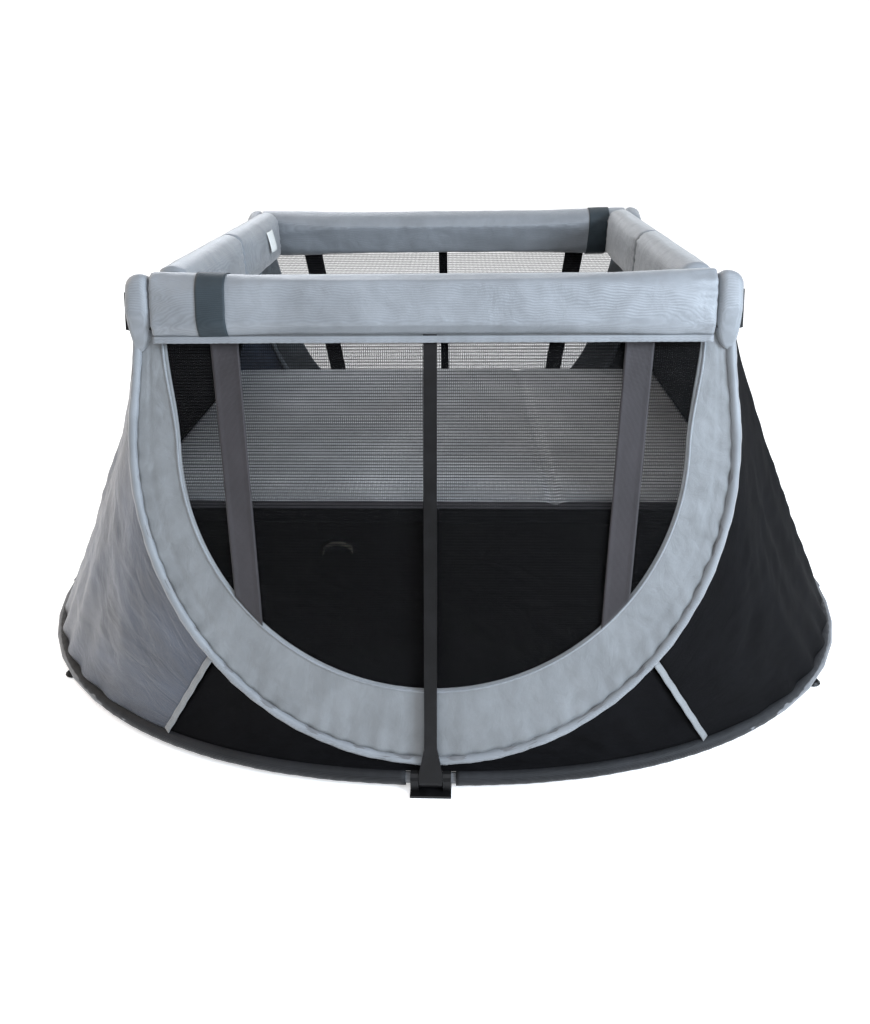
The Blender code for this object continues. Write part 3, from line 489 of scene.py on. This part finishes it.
piece = clothSheet("careLabel", careShape, 10, 10, 0.0006, careTape, (0.04, 0.034))
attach(piece, "left_back_rail")
print("hems and label made")


# soft corners: the arch band's sleeve carried up over the brackets
cap = dict(inner=0.3508, outer=0.3815, half=0.0235, low=0.058, high=0.036, soft=0.009, turn=0.020,
           taper=0.045, rows=14)
for wall, sign in walls.items():
    for hand, side in hands.items():
        bm = bmesh.new()
        tall = cap["low"] + cap["high"]
        bmesh.ops.create_cube(bm, size=1.0)
        bmesh.ops.scale(bm, vec=(cap["outer"] - cap["inner"], cap["half"] * 2, tall), verts=bm.verts)
        topOuter = [e for e in bm.edges if all(v.co.x > 0 and v.co.z > 0 for v in e.verts)]
        bmesh.ops.bevel(bm, geom=topOuter, affect="EDGES", segments=5, offset=cap["turn"], profile=0.5,
                        material=-1)
        corners = [e for e in bm.edges if e.calc_face_angle(0) > 0.9]
        bmesh.ops.bevel(bm, geom=corners, affect="EDGES", segments=3, offset=cap["soft"], profile=0.5,
                        material=-1)
        centre = ((cap["inner"] + cap["outer"]) / 2, 0, rise + (cap["high"] - cap["low"]) / 2)
        bmesh.ops.translate(bm, vec=centre, verts=bm.verts)
        for level in range(1, cap["rows"]):  # rows to taper and crease it by
            cutRow(bm, Vector((0, 0, rise - cap["low"] + tall * level / cap["rows"])), (0, 0, 1))
        for v in bm.verts:
            down = rise - cap["low"] + cap["taper"] - v.co.z
            if down > 0:
                v.co.y *= 1 - 0.80 * min(1.0, down / cap["taper"])
                v.co.x += (arch["topHalf"] - v.co.x) * 0.65 * min(1.0, down / cap["taper"]) ** 2
            v.co += Vector((ripple(v.co, 0.02, side + 3), ripple(v.co, 0.02, sign + 6), 0)) * 0.0011
            v.co.x *= side * -sign
        bm.transform(wallMatrix(wall))
        piece = newPiece(f"{wall}{hand.capitalize()}CornerCap", bm, satinPad)
        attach(piece, f"{wall}_wall")
print("corner caps made")


band = dict(thickness=0.0016, wave=0.0018, sleeve=0.0062, hem=0.0016)
padLow = rise - pad["below"] - 0.002
bandLength = 2.1  # along its outer edge
for wall in walls:
    seed = 2.0 if wall == "front" else 9.0

    def bandShape(u, v, wall=wall, seed=seed):
        s = -1 + 2 * u
        ox, ov = uCurve(arch, padLow + 0.02, s, -(arch["radius"] + 0.0004))
        ix, iv = uCurve(window, padLow + 0.02, s)
        middle = math.sin(math.pi * v)
        wave = band["wave"] * middle * (ripple((u * bandLength, v * 0.03, 0), 0.045, seed)
                                        + 0.7 * ripple((u * bandLength * 1.4, v * 0.12, 0), 0.02, seed + 4))
        wave -= 0.0011 * math.exp(-((v - 0.30) / 0.035) ** 2)
        pull = 0.0012 * math.sin(u * bandLength * 160) * (1 - v) ** 4 * (1 if abs(s) < 0.8 else 0.3)
        return wallPoint(wall, ox + (ix - ox) * v, ov + (iv - ov) * v, -wave - pull)

    lining = blackCloth if wall == "back" else satinGrey
    piece = clothSheet(f"{wall}ArchBand", bandShape, 260, 16, band["thickness"], [satinGrey, lining],
                       (bandLength, 0.09), lining=True)
    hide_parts(f"{wall}_arch_band")
    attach(piece, f"{wall}_wall")

    for name, size, gap, inward, radius in (
        ("ArchPiping", arch, 0.0, 0.0, band["sleeve"]),
        ("WindowHem", window, 0.004, -0.0016, band["hem"]),
    ):  # the band's sewn sleeve on the rod, and the hem round its window
        bm = bmesh.new()
        count = 150
        top = padLow + (0.02 if size is arch else 0)
        line = [wallPoint(wall, *uCurve(size, top, -1 + 2 * i / count, gap), inward)
                for i in range(count + 1)]
        bmesh.ops.create_circle(bm, segments=10, radius=radius)
        across = wallPoint(wall, 0, 0, 1) - wallPoint(wall, 0, 0, 0)
        section = [(v, v.co.copy()) for v in bm.verts]
        loop = [v for v, _ in section]
        edges = bm.edges[:]
        for i, spot in enumerate(line):
            ahead = (line[min(i + 1, count)] - line[max(i - 1, 0)]).normalized()
            side = ahead.cross(across).normalized()
            if i:
                grown = bmesh.ops.extrude_edge_only(bm, edges=edges)["geom"]
                edges = [g for g in grown if isinstance(g, bmesh.types.BMEdge)]
                loop = [g for g in grown if isinstance(g, bmesh.types.BMVert)]
            pucker = 1 + 0.06 * math.sin(i * 1.9) + 0.05 * math.sin(i * 0.7)
            for (_, flat), v in zip(section, loop):
                v.co = spot + (side * flat.x + across * flat.y) * pucker
        bmesh.ops.holes_fill(bm, edges=[e for e in bm.edges if e.is_boundary], sides=12)
        piece = newPiece(f"{wall}{name}", bm, satinPad)
        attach(piece, f"{wall}_wall")

    def netShape(u, v, wall=wall):
        x0, up0 = uCurve(window, padLow, -1 + v, -0.0008)
        up = up0 if v < 1 else window["bottom"] + 0.0008
        return wallPoint(wall, -abs(x0) + 2 * abs(x0) * u, up, 0.0006 * math.sin(math.pi * u))

    piece = clothSheet(f"{wall}MeshWindow", netShape, 24, 40, 0.0009, blackNet, (0.65, 0.46))
    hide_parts(f"{wall}_mesh_window")
    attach(piece, f"{wall}_wall")
print("arch bands and windows made")


strap = dict(width=0.036, top=0.262, bottom=0.242, thickness=0.0011, proud=0.0030)


def windowEdge(x):  # how far up the wall the window's lower edge is
    return window["spring"] - (window["spring"] - window["bottom"]) * math.sqrt(1 - (x / window["half"]) ** 2)


for wall, sign in walls.items():
    for hand, side in hands.items():
        def strapShape(u, v, wall=wall, side=side):
            foot = side * strap["bottom"] + (u - 0.5) * strap["width"]  # cut to the window's edge
            low = windowEdge(foot) - 0.003
            x = foot + side * (strap["top"] - strap["bottom"]) * v
            up = low + (padLow + 0.004 - low) * v
            roll = 0.0007 if u < 0.1 or u > 0.9 else 0.0
            slack = 0.0006 * ripple((u * 0.04, v * 0.3, 0), 0.05, side + 2)
            return wallPoint(wall, x, up, -strap["proud"] - roll - slack)

        piece = clothSheet(f"{wall}{hand.capitalize()}Strap", strapShape, 12, 60, strap["thickness"],
                           greyTape, (0.036, 0.35))
        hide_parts(f"{wall}_{hand}_strap")
        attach(piece, f"{wall}_wall")
print("straps made")


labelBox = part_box("front_rail_label")
label = dict(width=labelBox[1].x - labelBox[0].x, proud=0.0011)
for wall in walls:
    flat = wallMatrix(wall)
    padMesh = bpy.data.objects[f"{wall}RailPad"]
    unflat = flat.inverted()
    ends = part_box(f"{wall}_rail_label")
    at = (unflat @ Vector(((ends[0].x + ends[1].x) / 2, ends[0].y, ends[0].z))).x
    tree = BVHTree.FromPolygons([unflat @ v.co for v in padMesh.data.vertices],
                                [tuple(p.vertices) for p in padMesh.data.polygons])
    middle = rise + (pad["above"] - pad["below"]) / 2

    def labelShape(u, v, at=at, flat=flat, tree=tree):  # pressed on the pad, all the way round
        turn = -math.pi / 2 + 2 * math.pi * (0.01 + 0.98 * v)
        away = Vector((0, math.cos(turn), math.sin(turn)))
        start = Vector((at + (u - 0.5) * label["width"], 0, middle))
        hit = tree.ray_cast(start + away * 0.2, -away)[0]
        return flat @ (hit + away * label["proud"])

    piece = clothSheet(f"{wall}RailBand", labelShape, 12, 90, 0.0009, slateBand, (0.037, 0.25))
    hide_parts(f"{wall}_rail_label")
    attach(piece, f"{wall}_wall")
print("rail bands made")


hemOnArch, hemOnRing = 0.165, 0.385  # where the hem strip starts on the arch, and its x at the ring
endFolds = dict(long=0.013, cross=0.006, fine=0.0022, sag=0.010, gather=0.004)
hemX = arch["half"] * math.sqrt(1 - ((arch["spring"] - hemOnArch) / (arch["spring"] - arch["bottom"])) ** 2)
hemAngle = ringAngle(hemOnRing)


def archOuter(up):  # half width of the arch at this height
    if up >= arch["spring"]:
        k = (up - arch["spring"]) / (rise - 0.012 - arch["spring"])
        return arch["half"] + (arch["topHalf"] - arch["half"]) * (0.5 - 0.5 * math.cos(math.pi * min(k, 1)))
    return arch["half"] * math.sqrt(1 - ((arch["spring"] - up) / (arch["spring"] - arch["bottom"])) ** 2)


def endOutline(t, side):  # along the panel's upper edge, from the front hem over the rail to the back hem
    archShare = 0.40
    top = rise - pad["below"] + 0.004
    if t < archShare:
        up = hemOnArch + (top - hemOnArch) * (t / archShare) ** 0.85
        return wallPoint("front", side * (archOuter(up) + 0.0048), up)
    if t > 1 - archShare:
        up = hemOnArch + (top - hemOnArch) * ((1 - t) / archShare) ** 0.85
        return wallPoint("back", side * (archOuter(up) + 0.0048), up)
    a, b = endOutline(archShare - 1e-6, side), endOutline(1 - archShare + 1e-6, side)
    return a.lerp(b, (t - archShare) / (1 - 2 * archShare))


for hand, side in hands.items():
    def endShape(u, v, side=side):
        top = endOutline(u, side)
        angle = -hemAngle + 2 * hemAngle * u
        foot = ringPoint(angle if side > 0 else math.pi - angle, 0.0, sleeveRadius + 0.001)
        spot = top.lerp(foot, 1 - v)
        out = Vector((side, 0.0, 0.35)).normalized()
        middle = math.sin(math.pi * v) ** 0.8
        edge = min(1.0, 7 * min(u, 1 - u))
        sag = -endFolds["sag"] * middle * edge
        flow = u * 1.3 + 0.18 * (1 - v)
        folds = endFolds["long"] * ripple((flow, v * 0.16, 0), 0.15, 3.0 + side)
        folds += endFolds["cross"] * ripple((flow + 0.12 * v, v * 0.22, 0), 0.06, 5 + side)
        folds += endFolds["fine"] * ripple((u * 1.2, v * 0.6, 0), 0.028, 8 + side)
        gather = endFolds["gather"] * math.sin(u * 95 + side) * (1 - v) ** 5
        return spot + out * (sag + (folds * middle + gather) * edge)

    look = satinBlue if hand == "left" else blackCloth
    piece = clothSheet(f"{hand}EndPanel", endShape, 150, 64, 0.0012, look,
                       (1.25, 0.60))
    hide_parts(f"{hand}_end_panel")
    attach(piece, "back_foot")
    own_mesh(piece)

    for wall, sign in walls.items():
        def hemShape(u, v, side=side, sign=sign, wall=wall):
            near = 0.0 if wall == "front" else 1.0
            inner = endOutline(near, side)
            angle = sign * hemAngle if side > 0 else math.pi - sign * hemAngle
            foot = ringPoint(angle, 0.0, sleeveRadius + 0.001)
            spot = inner.lerp(foot, 1 - v)
            along = (foot - inner).normalized()
            out = Vector((side * 0.5, sign * 0.8, 0.35)).normalized()
            sideways = along.cross(out).normalized()
            return spot + sideways * (u - 0.5) * 0.010 + out * (0.0035 + 0.0006 * math.sin(v * 30))

        piece = clothSheet(f"{wall}{hand.capitalize()}HemStrip", hemShape, 4, 30, 0.0009, satinGrey,
                           (0.01, 0.2))
        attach(piece, "back_foot")
        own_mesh(piece)
print("end panels made")


for wall, sign in walls.items():
    def lowerShape(u, v, wall=wall, sign=sign):
        s = -1 + 2 * u
        x = s * hemX
        drop = (arch["spring"] - arch["bottom"]) * math.sqrt(1 - (x / arch["half"]) ** 2)
        up = arch["spring"] - drop - 0.004
        top = wallPoint(wall, x, up)
        angle = sign * (math.pi / 2 - s * (math.pi / 2 - hemAngle))
        foot = ringPoint(angle, 0.0, sleeveRadius + 0.0012)
        spot = top.lerp(foot, 1 - v)
        out = Vector((0, sign, 0.4)).normalized()
        folds = 0.006 * ripple((u * 1.1, v * 0.03, 0), 0.06, 11 + sign)
        folds += 0.003 * ripple((u * 1.1, v * 0.1, 0), 0.022, 14)
        middle = math.sin(math.pi * v)
        return spot + out * (folds * middle * min(1.0, 2.2 * abs(s)) - 0.004 * middle)

    piece = clothSheet(f"{wall}LowerWall", lowerShape, 140, 16, 0.0010, blackCloth,
                       (1.0, 0.12))
    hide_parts(f"{wall}_lower_wall")
    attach(piece, f"{wall}_wall")
print("lower walls made")


# a sleeve is wound round the tube, then runs inwards as a stitched edge
sleeve = dict(fromMiddle=0.034, wound=0.72, edge=0.034, drop=0.0105)
for wall, sign in walls.items():
    for hand, side in hands.items():
        low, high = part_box(f"{wall}_{hand}_ring_sleeve")
        start = ringAngle(sleeve["fromMiddle"])
        endY = high.y if sign < 0 else -low.y
        stop = 0.0
        while abs(ringPoint(stop).y) < abs(endY):
            stop += 0.002

        def sleeveShape(u, v, sign=sign, side=side, start=start, stop=stop):
            a = start + (stop - start) * u
            angle = sign * (a if side > 0 else math.pi - a)
            turn = math.radians(-95) - math.radians(265) * v / sleeve["wound"]
            pucker = 1 + 0.035 * ripple((u * 0.9, v * 0.1, 0), 0.02, 4.0) + 0.02 * math.sin(u * 260)
            if v < sleeve["wound"]:
                radius = sleeveRadius * pucker
                return ringPoint(angle, -radius * math.cos(turn), radius * math.sin(turn))
            k = (v - sleeve["wound"]) / (1 - sleeve["wound"])
            reach = sleeveRadius + (sleeve["edge"] - sleeveRadius) * k
            return ringPoint(angle, -reach, -sleeve["drop"] * min(1, k * 1.6) + 0.0012)

        piece = clothSheet(f"{wall}{hand.capitalize()}RingSleeve", sleeveShape, 150, 36, 0.0011,
                           greyTapeSolid, (0.9, 0.09))
        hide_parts(f"{wall}_{hand}_ring_sleeve")
        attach(piece, f"{wall}_ring")


def floorShape(u, v):  # fits the square grid to the oval, with low wrinkles
    x, y = -1 + 2 * u, -1 + 2 * v
    far = max(abs(x), abs(y)) or 1e-9
    edge = ringPoint(math.atan2(y, x), -sleeve["edge"])
    spot = Vector((edge.x * far, edge.y * far, 0.0038))
    wrinkles = ripple((spot.x, spot.y, 0), 0.09, 21.0) + 0.5 * ripple((spot.x, spot.y, 0), 0.03, 22.0)
    spot.z += 0.0016 * wrinkles + 0.0006
    return spot


floor = clothSheet("floorCloth", floorShape, 80, 80, 0.0009, blackCloth, (1.36, 1.0))
settle(floor)
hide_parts("floor_sheet")
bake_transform(floor)
print("ring sleeves and floor made")


mattress = dict(length=0.88, depth=0.62, top=0.336, thick=0.036, seam=0.163, hump=0.007)
mattressLow = mattress["top"] - mattress["thick"]


def mattressHeight(x, y):  # how much the top stands below its highest level
    fx, fy = abs(x) / (mattress["length"] / 2), abs(y) / (mattress["depth"] / 2)
    crown = (1 - fx ** 6) * (1 - fy ** 6)
    humps = 0.5 + 0.5 * ripple((x, y, 0), 0.20, 31.0)
    seam = 0.75 * math.exp(-((x - mattress["seam"] + 0.03 * y) / 0.009) ** 2)
    return (1 - crown) * 0.006 + mattress["hump"] * (0.35 * humps + seam)


bm = bmesh.new()
bmesh.ops.create_cube(bm, size=1.0)
extent = (mattress["length"] - 0.004, mattress["depth"] - 0.004, mattress["thick"] - 0.002)
bmesh.ops.scale(bm, vec=extent, verts=bm.verts)
bmesh.ops.translate(bm, vec=(0, 0, mattress["top"] - mattress["thick"] / 2 + 0.001), verts=bm.verts)
bmesh.ops.bevel(bm, geom=bm.edges[:], affect="EDGES", segments=3, offset=0.010, profile=0.5, material=-1)
for axis, count in ((0, 150), (1, 104)):
    half = mattress["length" if axis == 0 else "depth"] / 2
    for i in range(1, count):
        spot, normal = Vector(), Vector()
        spot[axis], normal[axis] = -half + 2 * half * i / count, 1.0
        cutRow(bm, spot, normal)
for v in bm.verts:
    share = (v.co.z - mattressLow) / mattress["thick"]
    v.co.z -= mattressHeight(v.co.x, v.co.y) * max(0.0, share) ** 2
    if abs(v.co.y) > mattress["depth"] / 2 - 0.01:
        v.co.y -= math.copysign(0.003 * (0.5 + 0.5 * ripple(v.co, 0.04, 33.0)), v.co.y)
padding = newPiece("mattressPad", bm, mattressKnit)
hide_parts("mattress")
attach(padding, "mattress")
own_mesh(padding)


def tapeShape(u, v):  # the dark tape along the mattress's front edge
    x = (-0.5 + u) * (mattress["length"] - 0.006)
    z = mattressLow + 0.001 + (mattress["thick"] + 0.0012) * v
    z -= mattressHeight(x, -mattress["depth"] / 2) * v * v
    out = 0.0016 + 0.0008 * ripple((x, z, 0), 0.03, 35.0)
    return Vector((x, -mattress["depth"] / 2 - out + 0.0004, z))


tape = clothSheet("mattressFrontBand", tapeShape, 110, 8, 0.0010, mattressTape,
                  (0.88, 0.038))
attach(tape, "mattress")
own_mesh(tape)

trayLow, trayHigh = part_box("mattress_tray")


def trayShape(u, v):  # a flat cloth under the mattress, its four edges turned up
    turnUp = trayHigh.z - trayLow.z - 0.001
    halfX, halfY = trayHigh.x - 0.0006, trayHigh.y - 0.0006
    x, y = (2 * u - 1) * (halfX + turnUp), (2 * v - 1) * (halfY + turnUp)
    up = max(abs(x) - halfX, abs(y) - halfY, 0.0)
    sag = 0.0004 * ripple((x, y, 0), 0.05, 51.0) * (up == 0)
    return Vector((max(-halfX, min(halfX, x)), max(-halfY, min(halfY, y)), trayLow.z + 0.0008 + up + sag))


tray = clothSheet("trayCloth", trayShape, 184, 132, 0.0009, blackCloth, (0.93, 0.67))
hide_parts("mattress_tray")
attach(tray, "back_foot")
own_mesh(tray)

for hand, side in hands.items():
    slingLow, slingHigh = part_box(f"{hand}_tray_sling")
    inner = min(abs(slingLow.x), abs(slingHigh.x)) + 0.0008
    outer = max(abs(slingLow.x), abs(slingHigh.x)) - 0.0008

    def slingShape(u, v):  # hangs from the side rail to the tray's edge, with slack folds low down
        y = (2 * u - 1) * (slingHigh.y - 0.002 + (railDepth - 0.03 - slingHigh.y) * v)
        folds = 0.0015 * (1 - v) * v * 4 * ripple((y, 0.3 * v, 0), 0.07, 52.0 + side)
        x = outer + (inner - outer) * v + folds
        return Vector((side * x, y, slingLow.z + 0.001 + (slingHigh.z - slingLow.z - 0.002) * v))

    sling = clothSheet(f"{hand}Sling", slingShape, 90, 34, 0.0009, blackCloth, (0.61, 0.24))
    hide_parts(f"{hand}_tray_sling")
    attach(sling, "back_foot")
    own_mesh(sling)

loopLow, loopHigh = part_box("floor_pull_loop")


def loopShape(u, v):  # a webbing loop standing on the floor cloth
    turn = math.pi * u
    half, height = (loopHigh.x - loopLow.x) / 2 - 0.001, loopHigh.z - loopLow.z - 0.0016
    x = (loopLow.x + loopHigh.x) / 2 + half * math.cos(turn) * (1 + 0.06 * math.sin(3 * turn))
    y = loopLow.y + (loopHigh.y - loopLow.y) * v
    return Vector((x, y, loopLow.z + 0.0008 + height * math.sin(turn)))


loop = clothSheet("pullLoop", loopShape, 40, 6, 0.0012, creamTape, (0.082, 0.015))
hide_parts("floor_pull_loop")
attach(loop, "back_ring")
print("mattress, tray and slings made")


studio = dict(half=9.0, wall=12.0, curve=4.0, glow=0.42, sky=0.54)  # a white sweep and an even sky
bm = bmesh.new()
bmesh.ops.create_grid(bm, x_segments=1, y_segments=1, size=studio["half"])
backEdge = [e for e in bm.edges if all(v.co.y > 1 for v in e.verts)]
raised = bmesh.ops.extrude_edge_only(bm, edges=backEdge)["geom"]
raised = [g for g in raised if isinstance(g, bmesh.types.BMVert)]
bmesh.ops.translate(bm, vec=(0, 0, studio["wall"]), verts=raised)
bmesh.ops.bevel(bm, geom=backEdge, affect="EDGES", segments=16, offset=studio["curve"], profile=0.5,
                material=-1)
ground = newPiece("studioFloor", bm, None, smooth=False)
paper, tree, shader = newMaterial("palePaper")  # matt white paper sweep
where = addNode(tree, "ShaderNodeTexCoord").outputs["Object"]
grain = addNode(tree, "ShaderNodeTexNoise", {"Scale": 60.0}, {"Vector": where})
tint = addNode(tree, "ShaderNodeMapRange", {"To Min": 0.93, "To Max": 0.96}, {"Value": grain.outputs["Fac"]})
tree.links.new(tint.outputs["Result"], shader.inputs["Base Color"])
shader.inputs["Roughness"].default_value = 0.9
shader.inputs["Emission Color"].default_value = (1, 1, 1, 1)
shader.inputs["Emission Strength"].default_value = studio["glow"]
ground.data.materials.clear()
ground.data.materials.append(paper)
ground.location.z = -0.0005

world = bpy.data.worlds.new("studio")
bpy.context.scene.world = world
world.use_nodes = True
sky = world.node_tree.nodes["Background"]
sky.inputs["Color"].default_value = hexColour("#ffffff")
sky.inputs["Strength"].default_value = studio["sky"]

lights = {  # place, size in metres, power, colour; each looks at the pen's middle
    "rightWindow": ((1.9, -1.5, 1.3), 1.0, 84, "#e0efff"),
    "leftFill": ((-2.4, 0.2, 1.7), 1.2, 20, "#ffe9d2"),
    "frontTop": ((0.2, -1.9, 2.6), 1.6, 30, "#f3f6ff"),
    "backRim": ((-0.9, 2.2, 2.0), 1.4, 26, "#eef4ff"),
}
for name, (spot, size, power, colour) in lights.items():
    lamp = bpy.data.lights.new(name, "AREA")
    lamp.shape = "SQUARE"
    lamp.size = size
    lamp.energy = power
    lamp.color = hexColour(colour)[:3]
    holder = bpy.data.objects.new(name, lamp)
    holder.location = spot
    holder.rotation_euler = (Vector((0, 0, 0.3)) - Vector(spot)).to_track_quat("-Z", "Y").to_euler()
    bpy.context.scene.collection.objects.link(holder)

view = dict(place=(0.0417, -1.2735, 0.8301), yaw=-0.04093, down=0.49218, roll=-0.0151, lens=26.92)
level = math.cos(view["down"])
forward = Vector((math.sin(view["yaw"]) * level, math.cos(view["yaw"]) * level, -math.sin(view["down"])))
right = forward.cross(Vector((0, 0, 1))).normalized()
upward = right.cross(forward)
c, s = math.cos(view["roll"]), math.sin(view["roll"])
across, upright = right * c + upward * s, upward * c - right * s
cameraData = bpy.data.cameras.new("camera")
cameraData.lens = view["lens"]
camera = bpy.data.objects.new("camera", cameraData)
aim = Matrix((across, upright, -forward)).transposed().to_4x4()
camera.matrix_world = Matrix.Translation(view["place"]) @ aim
bpy.context.scene.collection.objects.link(camera)
bpy.context.scene.camera = camera
bpy.context.scene.view_settings.view_transform = "Standard"
print("stage made")
